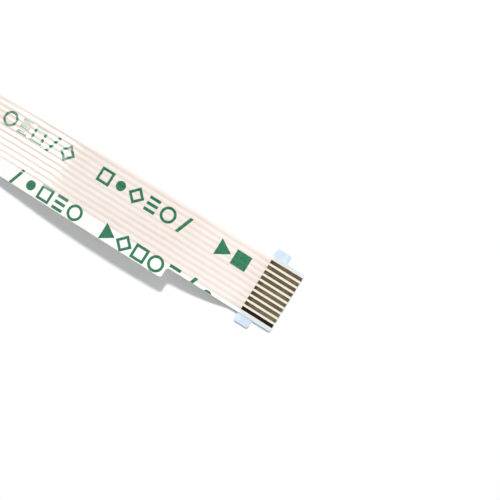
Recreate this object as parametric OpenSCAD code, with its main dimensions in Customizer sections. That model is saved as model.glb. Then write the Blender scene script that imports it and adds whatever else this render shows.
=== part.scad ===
// Flat flex cable: flat copper conductors sealed between two plastic films. Both ends are
// bare on top and backed by a stiffener with locking ears. One long edge has a plain margin.
// X runs along the cable, Y across it, and Z = 0 is the surface that the cable lies on.
// The cable lies on its two stiffened ends, and the stretch between them stays arched.

/* [Cable] */
// Length of the cable when it is pulled flat
cable_length = 65; // [60:1:200]
// Number of conductors
conductor_count = 10; // [4:1:20]
// Distance from the middle of one conductor to the middle of the next
pitch = 0.5; // [0.5:0.05:1]
// Width of a conductor
conductor_width = 0.3; // [0.2:0.01:0.35]
// Thickness of a conductor
conductor_thickness = 0.04; // [0.03:0.005:0.05]

/* [Films] */
// Thickness of each film with its adhesive
film_thickness = 0.06; // [0.04:0.005:0.1]
// Thickness of film at each side of a conductor, inside the ridge that it raises
ridge_side = 0.05; // [0.03:0.01:0.07]
// From the middle of an outer conductor to the nearer long edge of the cable at its ends
edge_margin = 0.5; // [0.35:0.05:1]
// Extra width of the plain margin between its two steps
wide_margin = 1; // [0.6:0.1:3]
// From a tip, along the cable, to the step of the plain margin
margin_setback = 10.1; // [7:0.1:20]
// Radius of both corners of that step
margin_radius = 0.25; // [0.1:0.05:0.3]
// Radius of the corners at the tips
tip_radius = 0.2; // [0.1:0.05:0.3]
// Length of bare conductor at each end
contact_length = 3.05; // [2:0.05:3.4]

/* [Stiffener] */
// Length of the stiffener
stiffener_length = 3.5; // [3.4:0.1:8]
// Thickness of the stiffener with its adhesive
stiffener_thickness = 0.2; // [0.1:0.01:0.3]
// From the tip to the near side of the ears
ear_setback = 1.75; // [0.8:0.05:1.85]
// Length of an ear along the cable
ear_length = 1.4; // [0.6:0.1:1.5]
// How far an ear stands out from the long edge
ear_reach = 0.75; // [0.5:0.05:1.5]
// Radius of the outer corners of an ear
ear_radius = 0.2; // [0.1:0.05:0.25]
// Radius of the inner corners at the root of an ear
ear_root_radius = 0.15; // [0.05:0.05:0.2]

/* [Lie of the cable] */
// Length of the bend that lifts the cable behind each stiffener
heel_length = 1; // [0.5:0.1:2]
// Slope of the cable where that bend ends, in degrees
heel_slope = 22; // [10:1:25]
// Length of the shoulder, which takes off most of that slope
shoulder_length = 5.7; // [4:0.1:8]
// Slope left where the shoulder ends, in degrees
shoulder_slope = 5; // [3:0.5:8]
// Length of the crown, the long flat arch that holds the highest point
crown_length = 14.8; // [8:0.1:18]
// Height of the underside at mid-length, to within a few hundredths
waist_height = 1; // [0.6:0.1:1.4]

/* [Hidden] */

// The most that the middle of a facet stands off the true bend
facet_gap = 0.01;
// Facets in a rounded corner of an outline
corner_steps = 5;

// Widths across the cable, from the middle of the row of conductors
row_half = (conductor_count - 1) * pitch / 2;
edge_y = row_half + edge_margin;
margin_y = -edge_y - wide_margin;
ear_y = edge_y + ear_reach;
// Puts the middle of the cable's overall width at Y = 0
row_shift = -(min(margin_y, -ear_y) + ear_y) / 2;

// Heights above the cable's underside
conductor_base = film_thickness;
conductor_top = conductor_base + conductor_thickness;
cover_top = conductor_base + film_thickness;
ridge_top = conductor_top + film_thickness;

// ---- How the cable lies, from a tip to mid-length ----

// A pose is [x from the tip, height of the underside, slope]
tip_pose = [0, stiffener_thickness, 0];
heel_end = carried(carried(tip_pose, stiffener_length, 0), heel_length, heel_slope);
shoulder_end = carried(heel_end, shoulder_length, shoulder_slope - heel_slope);
// The crown rises by less than its length, so an outline this tall cuts right through the cable
cut_height = shoulder_end[1] + crown_length;
sag_length = cable_length / 2 - stiffener_length - heel_length - shoulder_length - crown_length;
// Downward slope at the end of the crown, from which the sag brings the waist to its height
crown_rise = crown_length * shoulder_slope * PI / 180 / 2;
crown_fall = 2 * (shoulder_end[1] + crown_rise - waist_height) / (crown_length + sag_length) * 180 / PI;

// Each bend is [length, turn], where a turn upwards is positive
bends = [
    [stiffener_length, 0],
    [heel_length, heel_slope],
    [shoulder_length, shoulder_slope - heel_slope],
    [crown_length, -crown_fall - shoulder_slope],
    [sag_length, crown_fall]
];

// Pose at the end of an arc that starts at a pose
function carried(pose, length, turn) =
    let (mean_slope = pose[2] + turn / 2)
    let (chord = turn == 0 ? length : length * sin(turn / 2) / (turn / 2 * PI / 180))
    [pose[0] + chord * cos(mean_slope), pose[1] + chord * sin(mean_slope), pose[2] + turn];

// Pose at a distance along the cable from the tip, up to mid-length
function pose_at(distance, k = 0, pose = tip_pose) =
    k == len(bends) - 1 || distance <= bends[k][0]
    ? carried(pose, distance, bends[k][1] * distance / bends[k][0])
    : pose_at(distance - bends[k][0], k + 1, carried(pose, bends[k][0], bends[k][1]));

function bend_start(k) = k == 0 ? 0 : bend_start(k - 1) + bends[k - 1][0];

// Distances from the tip at which the cable turns from one facet to the next
facet_ends = [
    for (k = [0 : len(bends) - 1])
    let (turn = abs(bends[k][1]) * PI / 180)
    let (facets = max(1, ceil(sqrt(bends[k][0] * turn / facet_gap / 8))))
    for (i = [1 : facets])
    bend_start(k) + bends[k][0] * i / facets
];
half_span = pose_at(cable_length / 2)[0];

// Poses from the left end to the right end, with X = 0 at mid-length
function poses_from(setback) =
    let (stops = concat([setback], [for (d = facet_ends) if (d > setback) d]))
    let (half = [for (d = stops) pose_at(d)])
    concat(
        [for (p = half) [p[0] - half_span, p[1], p[2]]],
        [for (i = [len(half) - 2 : -1 : 0]) let (p = half[i]) [half_span - p[0], p[1], -p[2]]]
    );

// Point [x, z] that stands above the underside at a pose
function above(pose, height) =
    [pose[0] - height * sin(pose[2]), pose[1] + height * cos(pose[2])];

function reversed(list) = [for (i = [len(list) - 1 : -1 : 0]) list[i]];

// ---- Shapes that follow the cable ----

// A flat strip from one Y to another, between two heights above the underside
module strip(from_y, to_y, setback, low, high) {
    poses = poses_from(setback);
    underside = [for (p = poses) above(p, low)];
    topside = [for (p = poses) above(p, high)];
    translate([0, to_y, 0])
        rotate([90, 0, 0])
            linear_extrude(to_y - from_y)
                polygon(concat(underside, reversed(topside)));
}

// A strip centred on a conductor
module conductor_strip(k, width, setback, low, high)
    strip(row_y(k) - width / 2, row_y(k) + width / 2, setback, low, high);

// ---- Outlines seen from above ----

// Points of a rounded corner
function corner(centre, radius, from_angle, to_angle) = [
    for (i = [0 : corner_steps])
    let (a = from_angle + (to_angle - from_angle) * i / corner_steps)
    centre + radius * [cos(a), sin(a)]
];

// An outline from the points of its right half, in order from the lower side to the upper
function both_halves(right) =
    concat(right, [for (p = reversed(right)) [-p[0], p[1]]]);

module film_outline() {
    step_x = half_span - pose_at(margin_setback)[0];
    polygon(both_halves(concat(
        corner([step_x - margin_radius, margin_y + margin_radius], margin_radius, -90, 0),
        corner([step_x + margin_radius, -edge_y - margin_radius], margin_radius, 180, 90),
        corner([half_span - tip_radius, -edge_y + tip_radius], tip_radius, -90, 0),
        corner([half_span - tip_radius, edge_y - tip_radius], tip_radius, 0, 90)
    )));
}

// Upper half of a stiffener that points right, with X = 0 at its tip
function stiffener_edge() =
    let (ear_end = ear_setback + ear_length)
    concat(
        corner([-tip_radius, edge_y - tip_radius], tip_radius, 0, 90),
        corner([-ear_setback + ear_root_radius, edge_y + ear_root_radius], ear_root_radius, 270, 180),
        corner([-ear_setback - ear_radius, ear_y - ear_radius], ear_radius, 0, 90),
        corner([-ear_end + ear_radius, ear_y - ear_radius], ear_radius, 90, 180),
        corner([-ear_end - ear_root_radius, edge_y + ear_root_radius], ear_root_radius, 0, -90),
        [[-stiffener_length, edge_y]]
    );

// ---- Pieces ----

function row_y(k) = (k - 1) * pitch - row_half;
function conductor_name(k) = str("conductor_", k < 10 ? "0" : "", k);

module placed() translate([0, row_shift, 0]) children();

module bottom_film() color("white") placed()
    intersection() {
        strip(margin_y, edge_y, 0, 0, film_thickness);
        linear_extrude(cut_height) film_outline();
    }

// Each conductor lies in a channel under the film and raises a ridge on top of it
module top_film() color("linen") placed()
    intersection() {
        difference() {
            union() {
                strip(margin_y, edge_y, contact_length, conductor_base, cover_top);
                for (k = [1 : conductor_count])
                    conductor_strip(
                        k, conductor_width + 2 * ridge_side, contact_length, conductor_base, ridge_top
                    );
            }
            for (k = [1 : conductor_count])
                conductor_strip(k, conductor_width, 0, 0, conductor_top);
        }
        linear_extrude(cut_height) film_outline();
    }

module conductor(k) color("tan") placed()
    conductor_strip(k, conductor_width, 0, conductor_base, conductor_top);

module stiffener_right() color("lightsteelblue") placed()
    translate([half_span, 0, 0])
        linear_extrude(stiffener_thickness)
            polygon(concat(
                stiffener_edge(),
                [for (p = reversed(stiffener_edge())) [p[0], -p[1]]]
            ));

module stiffener_left() mirror([1, 0, 0]) stiffener_right();

bottom_film();
top_film();
stiffener_left();
stiffener_right();
for (k = [1 : conductor_count])
    conductor(k);
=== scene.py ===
"""Looks of a flat flex cable that lies on a pale table.

The films, the conductors and the printed marks are laid along the cable's arched underside
as smooth sheets.
Lengths are in metres. X runs along the cable, Y across it, and Z is up.
"""

import math

import bmesh
import bpy
import numpy as np
from mathutils import Matrix, Vector


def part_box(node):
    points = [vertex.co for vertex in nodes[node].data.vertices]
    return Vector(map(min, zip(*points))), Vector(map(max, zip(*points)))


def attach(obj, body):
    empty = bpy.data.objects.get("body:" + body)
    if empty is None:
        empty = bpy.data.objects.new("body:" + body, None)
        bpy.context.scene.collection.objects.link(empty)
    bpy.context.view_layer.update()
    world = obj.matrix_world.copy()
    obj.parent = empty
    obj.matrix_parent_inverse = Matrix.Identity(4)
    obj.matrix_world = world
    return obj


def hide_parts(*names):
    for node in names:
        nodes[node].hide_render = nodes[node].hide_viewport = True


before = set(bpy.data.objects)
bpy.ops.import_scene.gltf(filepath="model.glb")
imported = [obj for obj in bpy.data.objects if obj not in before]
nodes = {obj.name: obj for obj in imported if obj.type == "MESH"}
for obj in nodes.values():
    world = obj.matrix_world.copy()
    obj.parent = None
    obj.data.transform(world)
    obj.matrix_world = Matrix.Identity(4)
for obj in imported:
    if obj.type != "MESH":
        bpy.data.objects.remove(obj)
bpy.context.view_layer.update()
scene = bpy.context.scene

MM = 0.001
# Points that are nearer than this count as one
SNAP = 0.001 * MM

# Rounded corners of the films
STEP_RADIUS = 0.25 * MM
TIP_RADIUS = 0.2 * MM
# How far the side of a ridge reaches out from the edge of its conductor, and in over it
SLOPE_OUT = 0.095 * MM
SLOPE_IN = 0.125 * MM
# Width of each sloping wall of a channel under the cover film
CHANNEL_WALL = 0.01 * MM
INK_THICKNESS = 0.006 * MM

# Most distance from one cut of a sheet to the next: along the cable, across its wide margin,
# across the side of a ridge, and near the edge of a conductor
CUT_SPACING = 0.4 * MM
MARGIN_CUT_SPACING = 0.3 * MM
RIDGE_CUT_SPACING = 0.032 * MM
WIRE_CUT_SPACING = 0.005 * MM
# Faces that turn by less than this are shaded as one curve
SMOOTH_ANGLE = math.radians(40)


# ---- Sizes read from the frame ----

conductor_names = sorted(n for n in nodes if n.startswith("conductor_"))
conductor_boxes = [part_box(n) for n in conductor_names]
conductor_width = conductor_boxes[0][1].y - conductor_boxes[0][0].y
# Middle of each conductor across the cable
row = [(low.y + high.y) / 2 for low, high in conductor_boxes]
pitch = row[1] - row[0]
row_middle = (row[0] + row[-1]) / 2

film_low, film_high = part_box("bottom_film")
tip_x = film_high.x
edge_high = film_high.y
# The lower long edge at the ends of the cable, and the one along its wide margin
edge_low = 2 * row_middle - edge_high
margin_low = film_low.y
# Where the cover film ends and the stiffener starts, towards the right-hand tip
cover_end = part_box("top_film")[1].x
tape_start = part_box("stiffener_right")[0].x


def levels_at_tip(node):
    """Heights of a node's corners above the underside, at its right-hand end."""
    corners = [v.co for v in nodes[node].data.vertices]
    end = max(c.x for c in corners)
    heights = {round((c.z - film_low.z) / MM, 4) for c in corners if end - c.x < SNAP}
    return [h * MM for h in sorted(heights)]


conductor_base, conductor_top = levels_at_tip(conductor_names[0])
cover_top, ridge_top = levels_at_tip("top_film")[-2:]
# The wide margin ends where the film's lower edge steps in
step_x = max(
    v.co.x for v in nodes["bottom_film"].data.vertices if v.co.y < (margin_low + edge_low) / 2
)


# ---- The cable's underside ----

def underside_stations():
    """Places (x, z) where the CAD film's underside turns, from the left tip to the right one."""
    # The upper and lower corners of one turn are nearer than this along X
    turn_width = 0.06 * MM
    side = sorted(
        (round(v.co.x, 8), round(v.co.z, 8))
        for v in nodes["bottom_film"].data.vertices
        if edge_high - v.co.y < SNAP
    )
    turns = [[side[0]]]
    for x, z in side[1:]:
        if x - turns[-1][-1][0] > turn_width:
            turns.append([])
        turns[-1].append((x, z))
    lowest = [min(corners, key=lambda corner: corner[1]) for corners in turns]
    return [(-tip_x, film_low.z)] + lowest + [(tip_x, film_low.z)]


station_x, station_z = (np.array(c) for c in zip(*underside_stations()))


def station_slopes():
    """Slope of the smooth underside at each station; it is level wherever a flat end begins."""
    # A slope below this counts as level
    least_slope = 1e-4
    run = np.diff(station_x)
    rise = np.diff(station_z) / run
    slopes = np.zeros(len(station_x))
    slopes[1:-1] = (rise[:-1] * run[1:] + rise[1:] * run[:-1]) / (run[:-1] + run[1:])
    flat = np.abs(rise) < least_slope
    slopes[1:-1][flat[:-1] | flat[1:]] = 0
    return slopes


station_slope = station_slopes()


def underside(x):
    """Height and slope of the underside at x, from a cubic between stations."""
    i = int(np.clip(np.searchsorted(station_x, x) - 1, 0, len(station_x) - 2))
    run = station_x[i + 1] - station_x[i]
    # From station i to the next, t grows from 0 to 1, and m0 and m1 are the rises per unit of t
    t = (x - station_x[i]) / run
    z0, z1 = station_z[i], station_z[i + 1]
    m0, m1 = station_slope[i] * run, station_slope[i + 1] * run
    a = 2 * z0 + m0 - 2 * z1 + m1
    b = -3 * z0 - 2 * m0 + 3 * z1 - m1
    return ((a * t + b) * t + m0) * t + z0, ((3 * a * t + 2 * b) * t + m0) / run


def laid(x, y, height):
    """The point that stands a height above the underside at x, square to it."""
    z, slope = underside(x)
    lean = math.atan(slope)
    return Vector((x - height * math.sin(lean), y, z + height * math.cos(lean)))


# ---- Heights across the cable, above its underside ----

def smooth(t):
    """Eases from 0 to 1 as t goes from 0 to 1."""
    t = min(max(t, 0.0), 1.0)
    return t * t * (3 - 2 * t)


def from_conductor(y):
    """Distance from y to the middle of the nearest conductor."""
    return min(abs(y - c) for c in row)


def cover_height(y):
    """Top of the cover film, which rises over each conductor."""
    out = from_conductor(y) - conductor_width / 2
    return ridge_top - (ridge_top - cover_top) * smooth((out + SLOPE_IN) / (SLOPE_IN + SLOPE_OUT))


def channel_height(y):
    """Underside of the cover film, which clears each conductor."""
    out = from_conductor(y) - conductor_width / 2
    return conductor_top - (conductor_top - conductor_base) * min(max(out / CHANNEL_WALL, 0), 1)


def wire_height(y):
    """Top of a rolled conductor, which drops a little towards its edges."""
    drop = 0.25 * (conductor_top - conductor_base)
    inset = conductor_width / 2 - from_conductor(y)
    return conductor_top - drop * (1 - smooth(inset / (2 * drop)))


# ---- Flat plans ----

def spaced(low, high, most):
    """Even steps from low to high, none of them longer than most."""
    count = max(1, math.ceil((high - low) / most))
    return [low + (high - low) * i / count for i in range(count + 1)]


def arc(centre, radius, start, end, steps=8):
    """Points of an arc between two angles in degrees."""
    angles = [math.radians(start + (end - start) * i / steps) for i in range(steps + 1)]
    return [(centre[0] + radius * math.cos(a), centre[1] + radius * math.sin(a)) for a in angles]


def both_halves(right):
    """An outline from the points of its right half, in order from the lower side to the upper."""
    return right + [(-x, y) for x, y in reversed(right)]


def add_face(plan, points):
    plan.faces.new([plan.verts.new((x, y, 0)) for x, y in points])


def cut(plan, axis, values):
    """Cuts every face of a plan along the lines where x or y has one of the values."""
    normal = Vector({"x": (1, 0, 0), "y": (0, 1, 0)}[axis])
    for value in values:
        everything = plan.verts[:] + plan.edges[:] + plan.faces[:]
        bmesh.ops.bisect_plane(
            plan, geom=everything, dist=SNAP, plane_co=normal * value, plane_no=normal
        )


def ridge_lines():
    """Lines along which the cover film's cross-section turns."""
    half = conductor_width / 2
    slope = spaced(-SLOPE_IN, SLOPE_OUT, RIDGE_CUT_SPACING)
    offsets = [half + s for s in slope] + [half, half + CHANNEL_WALL]
    return sorted(c + side * o for c in row for o in offsets for side in (-1, 1))


def film_plan(end_x, corner):
    """Plan of a film: a ribbon between two ends, and the wide margin between its steps.

    The ribbon's corners are rounded to the radius corner, or square where that is 0.
    """
    plan = bmesh.new()
    if corner:
        lower = arc((end_x - corner, edge_low + corner), corner, -90, 0)
        upper = arc((end_x - corner, edge_high - corner), corner, 0, 90)
        ribbon = lower + upper
    else:
        ribbon = [(end_x, edge_low), (end_x, edge_high)]
    add_face(plan, both_halves(ribbon))

    rounded = arc((step_x - STEP_RADIUS, margin_low + STEP_RADIUS), STEP_RADIUS, -90, 0)
    add_face(plan, both_halves(rounded + [(step_x, edge_low)]))

    fillet = arc((step_x + STEP_RADIUS, edge_low - STEP_RADIUS), STEP_RADIUS, 180, 90)
    for first, second in zip(fillet, fillet[1:]):
        for side in (1, -1):
            add_face(plan, [(side * x, y) for x, y in ((step_x, edge_low), first, second)])

    cut(plan, "y", [edge_low, edge_low - STEP_RADIUS])
    steps = [side * (step_x + extra) for side in (-1, 1) for extra in (0, STEP_RADIUS)]
    cut(plan, "x", steps + spaced(-end_x, end_x, CUT_SPACING)[1:-1])
    return plan


# ---- Sheets laid along the cable ----

def face_up(plan):
    """Joins the points of a plan that meet, and turns its faces upwards."""
    bmesh.ops.remove_doubles(plan, verts=plan.verts[:], dist=SNAP)
    bmesh.ops.recalc_face_normals(plan, faces=plan.faces[:])
    if sum(f.normal.z for f in plan.faces) < 0:
        bmesh.ops.reverse_faces(plan, faces=plan.faces[:])
    plan.verts.index_update()


def sheet_faces(plan):
    """Faces of a closed sheet whose lower points are numbered on from its upper ones."""
    count = len(plan.verts)
    tops = [[v.index for v in f.verts] for f in plan.faces]
    bottoms = [[i + count for i in reversed(f)] for f in tops]
    walls = []
    for edge in plan.edges:
        if edge.is_boundary:
            loop = edge.link_loops[0]
            a, b = loop.vert.index, loop.link_loop_next.vert.index
            walls.append([b, a, a + count, b + count])
    return tops + bottoms + walls


def thick_sheet(name, plan, low, high, material):
    """A closed sheet over a flat plan; low and high give its heights above the underside at y."""
    face_up(plan)
    flat = [(v.co.x, v.co.y) for v in plan.verts]
    points = [laid(x, y, high(y)) for x, y in flat] + [laid(x, y, low(y)) for x, y in flat]
    mesh = bpy.data.meshes.new(name)
    mesh.from_pydata(points, [], sheet_faces(plan))
    plan.free()
    mesh.validate()
    mesh.set_sharp_from_angle(angle=SMOOTH_ANGLE)
    mesh.materials.append(material)
    piece = bpy.data.objects.new(name, mesh)
    scene.collection.objects.link(piece)
    return piece


# ---- Materials ----

class Nodes:
    """Short calls that add shader nodes to one material.

    A value that is fed to a socket is a plain value or the output of another node.
    """

    def __init__(self, name):
        self.material = bpy.data.materials.new(name)
        self.material.use_nodes = True
        self.tree = self.material.node_tree
        self.shader = self.tree.nodes["Principled BSDF"]
        self.place = self.tree.nodes.new("ShaderNodeTexCoord").outputs["Object"]

    def link(self, source, target):
        self.tree.links.new(source, target)

    def feed(self, socket, value):
        if hasattr(value, "is_linked"):
            self.link(value, socket)
        else:
            socket.default_value = value

    def math(self, operation, a, b=0.0):
        node = self.tree.nodes.new("ShaderNodeMath")
        node.operation = operation
        self.feed(node.inputs[0], a)
        self.feed(node.inputs[1], b)
        return node.outputs[0]

    def axis(self, name):
        """The X, Y or Z of a place on the object."""
        node = self.tree.nodes.new("ShaderNodeSeparateXYZ")
        self.link(self.place, node.inputs[0])
        return node.outputs[name]

    def ramp(self, value, low, high, to_low=0.0, to_high=1.0):
        """Eases from to_low at low to to_high at high."""
        node = self.tree.nodes.new("ShaderNodeMapRange")
        node.interpolation_type = "SMOOTHSTEP"
        self.link(value, node.inputs["Value"])
        node.inputs["From Min"].default_value = low
        node.inputs["From Max"].default_value = high
        node.inputs["To Min"].default_value = to_low
        node.inputs["To Max"].default_value = to_high
        return node.outputs["Result"]

    def noise(self, size, detail=3.0, stretch=(1.0, 1.0, 1.0)):
        """Noise whose spots are about size across, longer along an axis with a larger stretch."""
        mapping = self.tree.nodes.new("ShaderNodeMapping")
        self.link(self.place, mapping.inputs["Vector"])
        mapping.inputs["Scale"].default_value = [1 / (size * s) for s in stretch]
        node = self.tree.nodes.new("ShaderNodeTexNoise")
        node.inputs["Scale"].default_value = 1.0
        node.inputs["Detail"].default_value = detail
        self.link(mapping.outputs["Vector"], node.inputs["Vector"])
        return node.outputs["Fac"]

    def mix(self, share, a, b, blend="MIX"):
        """Goes from a to b as share goes from 0 to 1."""
        node = self.tree.nodes.new("ShaderNodeMix")
        node.data_type = "RGBA"
        node.blend_type = blend
        self.feed(node.inputs["Factor"], share)
        self.feed(node.inputs["A"], a)
        self.feed(node.inputs["B"], b)
        return node.outputs["Result"]

    def bump(self, height, distance, strength):
        node = self.tree.nodes.new("ShaderNodeBump")
        node.inputs["Strength"].default_value = strength
        node.inputs["Distance"].default_value = distance
        self.link(height, node.inputs["Height"])
        self.link(node.outputs["Normal"], self.shader.inputs["Normal"])

    def set(self, **values):
        """Sets the shader's sockets, whose names have _ for a space, and gives the material."""
        for name, value in values.items():
            self.feed(self.shader.inputs[name.replace("_", " ")], value)
        return self.material


def colour(red, green, blue):
    """Linear colour from sRGB values out of 255."""
    def linear(v):
        v /= 255
        return v / 12.92 if v <= 0.04045 else ((v + 0.055) / 1.055) ** 2.4
    return (linear(red), linear(green), linear(blue), 1.0)


PLAIN_FILM = colour(250, 248, 243)


def near_conductor(n, half, soft):
    """1 up to half from a conductor's middle and 0 past that, easing over twice soft."""
    from_start = n.math("SUBTRACT", n.axis("Y"), row[0] - pitch / 2)
    across = n.math("SUBTRACT", n.math("FRACT", n.math("DIVIDE", from_start, pitch)), 0.5)
    offset = n.math("MULTIPLY", n.math("ABSOLUTE", across), pitch)
    over = n.ramp(offset, half - soft, half + soft, to_low=1.0, to_high=0.0)
    return n.math("MULTIPLY", over, row_share(n, soft))


def row_share(n, soft):
    """1 across the row of conductors and 0 over both plain edges."""
    y = n.axis("Y")
    # From the middle of an outer conductor to just past its edge
    reach = conductor_width / 2 + 0.03 * MM
    from_low = n.ramp(y, row[0] - reach - soft, row[0] - reach)
    from_high = n.ramp(y, row[-1] + reach, row[-1] + reach + soft, to_low=1.0, to_high=0.0)
    return n.math("MULTIPLY", from_low, from_high)


def over_tape(n):
    """1 over the stiffeners."""
    soft = 0.1 * MM
    return n.ramp(n.math("ABSOLUTE", n.axis("X")), tape_start, tape_start + soft)


def film_material(name, copper, gap, plain, end_plain):
    """Milky film with the copper showing through in bands.

    Its plain edges are of the colour end_plain over the stiffeners.
    """
    n = Nodes(name)
    cloud = n.ramp(n.noise(4 * MM, 2, stretch=(2, 1, 1)), 0.35, 0.65)
    copper_tone = n.mix(n.math("MULTIPLY", cloud, 0.7), copper, gap)
    bands = n.mix(near_conductor(n, conductor_width / 2, 0.05 * MM), gap, copper_tone)
    edges = n.mix(over_tape(n), plain, end_plain)
    base = n.mix(row_share(n, 0.08 * MM), edges, bands)

    streak = n.noise(0.12 * MM, 3, stretch=(60, 1, 1))
    shade = n.ramp(streak, 0.3, 0.7, to_low=0.965)
    grain = n.ramp(n.noise(0.05 * MM, 2), 0.3, 0.7, to_low=0.985)
    toned = n.mix(1.0, base, n.math("MULTIPLY", shade, grain), blend="MULTIPLY")

    waves = n.noise(0.3 * MM, 2, stretch=(2, 1, 1))
    n.bump(n.math("ADD", streak, waves), distance=0.001 * MM, strength=0.5)
    return n.set(Base_Color=toned, Roughness=film_roughness(n), IOR=1.55)


def film_roughness(n):
    """Glossy in the valleys, and dull on the plain edges and on the crests of the ridges."""
    glossy = n.ramp(n.noise(0.6 * MM, 3), 0.3, 0.7, to_low=0.06, to_high=0.1)
    crest = near_conductor(n, 0.13 * MM, 0.03 * MM)
    plain = n.math("SUBTRACT", 1.0, row_share(n, 0.1 * MM))
    dull = n.math("MAXIMUM", crest, plain)
    return n.math("ADD", glossy, n.math("MULTIPLY", dull, 0.85))


def contact_material():
    """Dull plated copper, drawn along the cable."""
    n = Nodes("plated_copper")
    patch = n.ramp(n.noise(0.7 * MM, 3, stretch=(1.5, 1, 1)), 0.35, 0.65)
    ruddy = n.ramp(n.noise(0.35 * MM, 2), 0.5, 0.7, to_high=0.7)
    drawn = n.noise(0.04 * MM, 4, stretch=(40, 1, 1))
    worn = n.ramp(drawn, 0.35, 0.7, to_high=0.6)
    base = n.mix(patch, colour(165, 150, 119), colour(131, 117, 92))
    base = n.mix(ruddy, base, colour(140, 110, 96))
    base = n.mix(worn, base, colour(96, 85, 68))
    # The contacts are painted darker in patches next to the cover film's end
    base = n.mix(darkened_near_film_end(n), base, colour(52, 46, 36))
    # Painted dark reflection: the outermost contact beside the wide margin is coloured nearly
    # black
    base = n.mix(painted_dark_reflection(n), base, colour(20, 17, 14))
    n.bump(drawn, distance=0.0015 * MM, strength=0.6)
    rough = n.ramp(drawn, 0.3, 0.7, to_low=0.22, to_high=0.38)
    return n.set(Base_Color=base, Metallic=0.85, Roughness=rough)


def darkened_near_film_end(n):
    """Patches where the contacts are painted darker, next to where they come out from under the
    cover film.
    """
    reach = 1.3 * MM
    from_middle = n.math("ABSOLUTE", n.axis("X"))
    near = n.ramp(from_middle, cover_end, cover_end + reach, to_low=0.65, to_high=0.0)
    return n.math("MULTIPLY", near, n.ramp(n.noise(0.4 * MM, 2), 0.35, 0.65))


def painted_dark_reflection(n):
    """Nearly 1 on the outermost conductor beside the wide margin, and 0 on the others; it paints
    the dark reflection that makes that contact nearly black.
    """
    gap_middle = row[0] + 0.5 * pitch
    soft = 0.1 * pitch
    return n.ramp(n.axis("Y"), gap_middle - soft, gap_middle + soft, to_low=0.92, to_high=0.0)


def stiffener_material():
    """Pale blue polyester tape."""
    n = Nodes("pale_blue_tape")
    mottle = n.noise(0.5 * MM, 4)
    base = n.mix(n.ramp(mottle, 0.3, 0.7), colour(202, 217, 232), colour(216, 228, 239))
    n.bump(n.noise(0.08 * MM, 3), distance=0.003 * MM, strength=0.5)
    rough = n.ramp(mottle, 0.3, 0.7, to_low=0.38, to_high=0.5)
    return n.set(Base_Color=base, Roughness=rough)


def ink_material():
    """Green marking ink, a little thin in places."""
    n = Nodes("green_ink")
    thin = n.noise(0.12 * MM, 4)
    base = n.mix(n.ramp(thin, 0.3, 0.75), colour(20, 104, 66), colour(58, 132, 96))
    n.bump(thin, distance=0.0005 * MM, strength=0.5)
    return n.set(Base_Color=base, Roughness=film_roughness(n))


def table_material():
    """White with a faint cloud."""
    n = Nodes("white_table")
    cloud = n.ramp(n.noise(6 * MM, 2), 0.3, 0.7)
    base = n.mix(cloud, (0.93, 0.93, 0.93, 1), (0.95, 0.95, 0.95, 1))
    return n.set(Base_Color=base, Roughness=0.8)


# ---- Films and conductors ----

def make_cover():
    """The top film, ridged over the conductors."""
    plan = film_plan(cover_end, corner=0)
    cut(plan, "y", ridge_lines())
    cut(plan, "y", spaced(margin_low, edge_low, MARGIN_CUT_SPACING)[1:-1])
    material = film_material(
        "cover_film", copper=colour(232, 212, 203), gap=colour(243, 232, 222),
        plain=PLAIN_FILM, end_plain=PLAIN_FILM
    )
    film = thick_sheet("film_cover", plan, channel_height, cover_height, material)
    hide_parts("top_film")
    return film


def make_base():
    """The bottom film, which shows between and beside the contacts."""
    plan = film_plan(tip_x, corner=TIP_RADIUS)
    tape_through_film = colour(222, 227, 230)
    material = film_material(
        "base_film", copper=colour(242, 232, 224), gap=colour(251, 241, 219),
        plain=PLAIN_FILM, end_plain=tape_through_film
    )
    film = thick_sheet("film_base", plan, lambda y: 0.0, lambda y: conductor_base, material)
    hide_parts("bottom_film")
    return film


def wire_plan(centre):
    """Plan of a conductor, with cuts close together near its rounded edges."""
    plan = bmesh.new()
    half = conductor_width / 2
    edge_cuts = 6
    add_face(plan, both_halves([(tip_x, centre - half), (tip_x, centre + half)]))
    offsets = [half - i * WIRE_CUT_SPACING for i in range(1, edge_cuts + 1)]
    cut(plan, "y", [centre + side * offset for side in (-1, 1) for offset in offsets])
    cut(plan, "x", spaced(-tip_x, tip_x, CUT_SPACING)[1:-1])
    return plan


def make_wires():
    metal = contact_material()
    wires = []
    for k, (name, centre) in enumerate(zip(conductor_names, row), start=1):
        wire = thick_sheet(
            f"wire_{k:02d}", wire_plan(centre), lambda y: conductor_base, wire_height, metal
        )
        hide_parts(name)
        wires.append(wire)
    return wires


# ---- Printed marks: plain shapes, each a list of convex faces in a box about 1 high ----

# Width of a stroke, as a share of a mark's size
STROKE = 0.15


def ring(radius, sides=32, start=0.0):
    """A ring one stroke wide, with its first corner at the angle start in degrees."""
    inner = radius - STROKE / math.cos(math.pi / sides)
    turns = [math.radians(start) + 2 * math.pi * i / sides for i in range(sides + 1)]
    faces = []
    for a, b in zip(turns, turns[1:]):
        faces.append([(radius * math.cos(a), radius * math.sin(a)),
                      (radius * math.cos(b), radius * math.sin(b)),
                      (inner * math.cos(b), inner * math.sin(b)),
                      (inner * math.cos(a), inner * math.sin(a))])
    return faces


def disc(radius, sides=32):
    turns = [2 * math.pi * i / sides for i in range(sides)]
    return [[(radius * math.cos(a), radius * math.sin(a)) for a in turns]]


def block(left, right, low, high):
    return [[(left, low), (right, low), (right, high), (left, high)]]


def bars(count, width):
    """Level bars, each as high as the gaps between them."""
    share = 1 / count
    middles = [(i + 0.5) * share - 0.5 for i in range(count)]
    return [face for m in middles
            for face in block(-width / 2, width / 2, m - share / 4, m + share / 4)]


def slash(width, lean):
    """A bar that leans to the right by lean above its middle."""
    half = width / 2
    return [[(-half - lean, -0.5), (half - lean, -0.5), (half + lean, 0.5), (-half + lean, 0.5)]]


def wedge(left, right, half_height):
    """A triangle that points to the right."""
    return [[(left, -half_height), (right, 0.0), (left, half_height)]]


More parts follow.
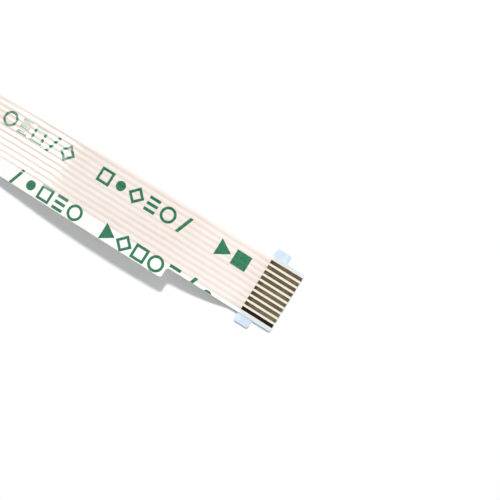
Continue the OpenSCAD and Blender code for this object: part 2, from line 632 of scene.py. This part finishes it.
MARKS = {
    "ring": ring(0.45),
    "diamond": ring(0.5, sides=4),
    "dot": disc(0.28),
    "square": ring(0.58, sides=4, start=45),
    "bars": bars(3, 0.66),
    "slash": slash(0.19, 0.18),
    "wedge": wedge(-0.35, 0.42, 0.48),
    "block": block(-0.42, 0.42, -0.42, 0.42),
}

MARK_SIZE = 1.6 * MM
MARK_SPACING = 1.6 * MM
# The print repeats after this length of cable
REPEAT = 28 * MM

# Each row: distance of its middle from the middle of the row of conductors, and its groups.
# A group is (millimetres from mid-length to its right-hand mark, names from left to right).
UPPER = (0.97 * MM, [(27.1, "wedge block"), (21.7, "square dot diamond bars ring slash"),
                     (9.6, "ring bars square slash diamond")])
LOWER = (-3.0 * MM, [(26.2, "wedge diamond square ring bars slash dot"),
                     (13.1, "slash dot square bars ring")])


def add_marks(plan, middle, groups):
    """Adds a row of marks, and its repeat further to the left."""
    for right, names in groups:
        for k, mark in enumerate(reversed(names.split())):
            for repeat in (0, 1):
                x = right * MM - k * MARK_SPACING - repeat * REPEAT
                for face in MARKS[mark]:
                    add_face(plan, [(x + MARK_SIZE * a, middle + MARK_SIZE * b) for a, b in face])


def trim_to_margin(plan):
    """Drops what would lie past the film's lower edge, or closer to it than an inset."""
    inset = 0.01 * MM
    # The wide margin's edge is straight up to here, where its rounded step begins
    straight_x = step_x - STEP_RADIUS
    cut(plan, "x", [-straight_x, straight_x])
    cut(plan, "y", [margin_low + inset, edge_low + inset])
    outside = []
    for face in plan.faces:
        middle = face.calc_center_median()
        edge = edge_low if abs(middle.x) > straight_x else margin_low
        if middle.y < edge + inset:
            outside.append(face)
    bmesh.ops.delete(plan, geom=outside, context="FACES")


def make_print(name, rise, groups, ink):
    """A row of marks, half sunk in the cover film's top."""
    plan = bmesh.new()
    middle = row_middle + rise
    add_marks(plan, middle, groups)
    trim_to_margin(plan)
    cut(plan, "y", [y for y in ridge_lines() if abs(y - middle) < MARK_SIZE])
    cut(plan, "x", spaced(-cover_end, cover_end, CUT_SPACING)[1:-1])
    half = INK_THICKNESS / 2
    return thick_sheet(
        name, plan, lambda y: cover_height(y) - half, lambda y: cover_height(y) + half, ink
    )


# ---- The dressed cable ----

films = [make_cover(), make_base()]
wires = make_wires()
ink = ink_material()
prints = [make_print("print_upper", *UPPER, ink), make_print("print_lower", *LOWER, ink)]
for piece in films + wires + prints:
    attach(piece, "root")

tape = stiffener_material()
for name in ("stiffener_left", "stiffener_right"):
    nodes[name].material_slots[0].material = tape


# ---- Table and light ----

TABLE_SIZE = 4
# Keeps the table's face clear of the stiffeners' undersides
TABLE_DROP = 0.005 * MM

# Strength of the room's light: dim from every direction whose X is below DIM_X, and bright
# from straight along +X
DIM_X = -0.6
DIM = 0.07
BRIGHT = 1.13


def make_table():
    bpy.ops.mesh.primitive_plane_add(size=TABLE_SIZE, location=(0, 0, -TABLE_DROP))
    table = bpy.context.object
    table.name = "table"
    table.data.materials.append(table_material())
    return table


def room_light():
    """Light from all round, stronger from the side that the right-hand tip points to."""
    world = bpy.data.worlds.new("studio")
    world.use_nodes = True
    tree = world.node_tree
    sky = tree.nodes["Background"]
    sky.inputs["Color"].default_value = (0.93, 0.97, 1.0, 1.0)
    direction = tree.nodes.new("ShaderNodeTexCoord")
    split = tree.nodes.new("ShaderNodeSeparateXYZ")
    strength = tree.nodes.new("ShaderNodeMapRange")
    strength.interpolation_type = "SMOOTHSTEP"
    strength.inputs["From Min"].default_value = DIM_X
    strength.inputs["To Min"].default_value = DIM
    strength.inputs["To Max"].default_value = BRIGHT
    tree.links.new(direction.outputs["Generated"], split.inputs[0])
    tree.links.new(split.outputs["X"], strength.inputs["Value"])
    tree.links.new(strength.outputs["Result"], sky.inputs["Strength"])
    return world


def area_light(name, aim, toward, distance, width, height, power):
    """A lamp that shines at aim from a distance in the direction toward."""
    lamp = bpy.data.lights.new(name, "AREA")
    lamp.shape = "RECTANGLE"
    lamp.size = width
    lamp.size_y = height
    lamp.energy = power
    holder = bpy.data.objects.new(name, lamp)
    direction = Vector(toward).normalized()
    holder.location = Vector(aim) + direction * distance
    holder.rotation_mode = "QUATERNION"
    holder.rotation_quaternion = direction.to_track_quat("Z", "Y")
    scene.collection.objects.link(holder)
    return holder


make_table()
scene.view_settings.view_transform = "Standard"
scene.world = room_light()

# The window throws the shadows. It isn't seen in the film's gloss.
window = area_light(
    "window", aim=(0.02, 0, 0), toward=(-0.27, 1.28, 2.1), distance=1.0,
    width=0.12, height=0.12, power=7.5
)
window.visible_glossy = False
# The panel is seen only in gloss: its mirror image lies in the film that slopes down
# behind the crown.
panel = area_light(
    "panel", aim=(0.011, 0, 0.002), toward=(-0.682, 0, 0.731), distance=0.5,
    width=0.6, height=0.14, power=5.0
)
panel.visible_diffuse = False


# ---- Camera ----

# The camera looks down at the right-hand end. It leans from above towards that end and
# towards the wide margin, and the picture is turned so that the cable slopes down to the right.
CAMERA_TARGET = Vector((27.1422, 2.2816, 0)) * MM
# Direction from the target to the camera
CAMERA_BACK = Vector((0.20705, -0.05115, 0.97699)).normalized()
CAMERA_DISTANCE = 90.8 * MM
PICTURE_TURN = math.radians(32.47)
# Focal length as a share of the sensor's width
FOCAL_WIDTHS = 2.17254


def make_camera():
    camera = bpy.data.cameras.new("camera")
    camera.sensor_width = 36
    camera.lens = FOCAL_WIDTHS * camera.sensor_width
    camera.clip_start = 1 * MM
    up = Vector((-math.sin(PICTURE_TURN), math.cos(PICTURE_TURN), 0))
    right = up.cross(CAMERA_BACK).normalized()
    axes = Matrix((right, CAMERA_BACK.cross(right), CAMERA_BACK)).transposed().to_4x4()
    holder = bpy.data.objects.new("camera", camera)
    holder.matrix_world = Matrix.Translation(CAMERA_TARGET + CAMERA_BACK * CAMERA_DISTANCE) @ axes
    scene.collection.objects.link(holder)
    return holder


scene.camera = make_camera()
